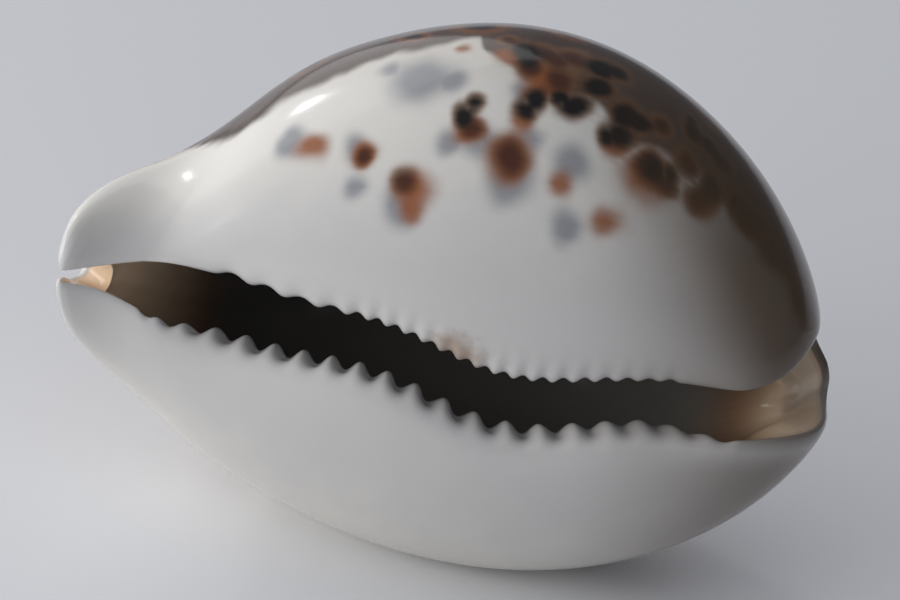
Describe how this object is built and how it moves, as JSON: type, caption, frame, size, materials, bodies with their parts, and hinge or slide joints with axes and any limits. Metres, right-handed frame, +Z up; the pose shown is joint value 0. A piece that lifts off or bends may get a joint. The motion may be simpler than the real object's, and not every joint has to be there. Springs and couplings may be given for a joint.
{
  "type": "cowrie shell",
  "caption": "Egg-shaped cowrie shell with a long toothed aperture on its base and a hollow inside, lying on its side on a small flat spot.",
  "frame": {"origin": "bottom centre of the bounding box, at the height of the flat resting spot", "axes": "+X towards the blunt posterior end, -X towards the narrow anterior end, -Y the way the base and aperture face, +Y the rounded back, +Z up from the outer lip's flank to the columellar side"},
  "size_m": [0.0904, 0.0486, 0.0644],
  "materials": {
    "enamel": "glossy natural enamel, spotted back, pale base"
  },
  "bodies": {
    "root": {"shell": "enamel"}
  },
  "joints": []
}
